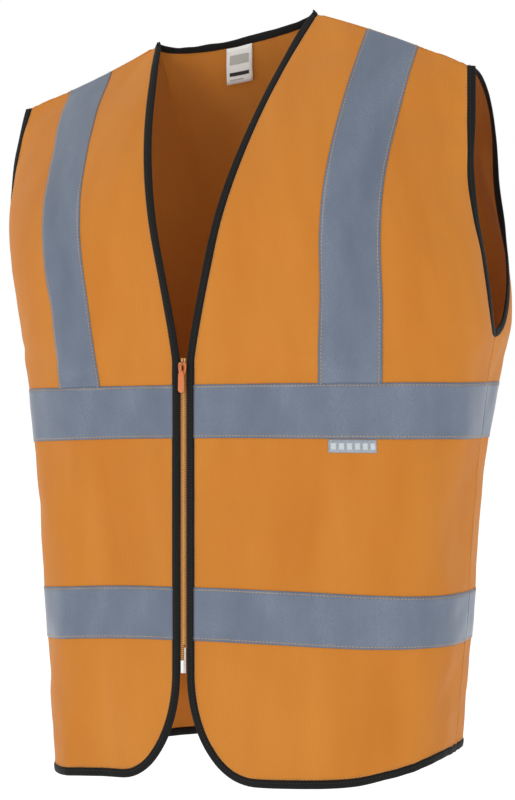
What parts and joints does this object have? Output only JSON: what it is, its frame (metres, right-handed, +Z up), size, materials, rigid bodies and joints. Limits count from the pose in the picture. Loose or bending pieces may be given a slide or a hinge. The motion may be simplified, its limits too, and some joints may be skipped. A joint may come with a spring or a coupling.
{
  "type": "high visibility vest",
  "caption": "Sleeveless high visibility vest with a separating front zip, black bound edges, reflective bands round the body and reflective tapes over the shoulders.",
  "frame": {"origin": "midway between the two points where the shoulder seams meet the neckline, where the wearer's shoulders carry the vest", "axes": "+Z up, towards the neck; the front faces -Y; +X is the wearer's left"},
  "size_m": [0.5142, 0.2317, 0.7462],
  "materials": {
    "knit_polyester": "fluorescent orange warp-knitted polyester, matt",
    "reflective_tape": "glass-bead retroreflective tape on a woven backing, satin grey",
    "bias_binding": "black woven polyester binding, folded and sewn",
    "zip_tape": "orange woven polyester zip tape",
    "zip_coil": "moulded orange polyester",
    "enamelled_zinc": "orange enamel on die-cast zinc",
    "zip_box_plastic": "white moulded plastic",
    "label_satin": "white woven satin label with plain printed bars",
    "heat_transfer": "thin silver grey heat-transfer film, plain pattern"
  },
  "bodies": {
    "back": {"back_panel": "knit_polyester", "upper_band_back": "reflective_tape", "lower_band_back": "reflective_tape", "shoulder_tape_back_left": "reflective_tape", "shoulder_tape_back_right": "reflective_tape", "neck_binding_back": "bias_binding", "hem_binding_back": "bias_binding", "armhole_binding_back_left": "bias_binding", "armhole_binding_back_right": "bias_binding", "neck_label": "label_satin"},
    "front_left": {"front_panel_left": "knit_polyester", "upper_band_front_left": "reflective_tape", "lower_band_front_left": "reflective_tape", "shoulder_tape_front_left": "reflective_tape", "front_edge_binding_left": "bias_binding", "armhole_binding_front_left": "bias_binding", "zip_tape_left": "zip_tape", "zip_teeth_left": "zip_coil", "zip_top_stop_left": "zip_coil", "chest_tab": "heat_transfer", "zip_insertion_pin": "zip_coil"},
    "front_right": {"front_panel_right": "knit_polyester", "upper_band_front_right": "reflective_tape", "lower_band_front_right": "reflective_tape", "shoulder_tape_front_right": "reflective_tape", "front_edge_binding_right": "bias_binding", "armhole_binding_front_right": "bias_binding", "zip_tape_right": "zip_tape", "zip_teeth_right": "zip_coil", "zip_top_stop_right": "zip_coil", "zip_retainer_box": "zip_box_plastic"},
    "zip_slider_body": {"zip_slider": "enamelled_zinc"},
    "zip_pull": {"zip_pull_tab": "enamelled_zinc"}
  },
  "joints": [
    {"name": "front_left_open", "type": "hinge", "parent": "back", "child": "front_left", "pos_m": [0.2527, 0, -0.5108], "axis": [0.0857, 0, 0.9963], "range_deg": [0, 38]},
    {"name": "front_right_open", "type": "hinge", "parent": "back", "child": "front_right", "pos_m": [-0.1987, 0, -0.5198], "axis": [0.086, 0, -0.9963], "range_deg": [0, 38]},
    {"name": "zip_slide", "type": "slide", "parent": "front_right", "child": "zip_slider_body", "axis": [0, 0, -1], "range_m": [0, 0.2672]},
    {"name": "pull_swing", "type": "hinge", "parent": "zip_slider_body", "child": "zip_pull", "pos_m": [0, -0.1191, -0.3324], "axis": [-1, 0, 0], "range_deg": [0, 150]}
  ],
  "couplings": [
    {"joint": "front_right_open", "follows": "front_left_open", "ratio": 1},
    {"joint": "zip_slide", "follows": "front_left_open", "m_per_rad": 0.40258}
  ]
}
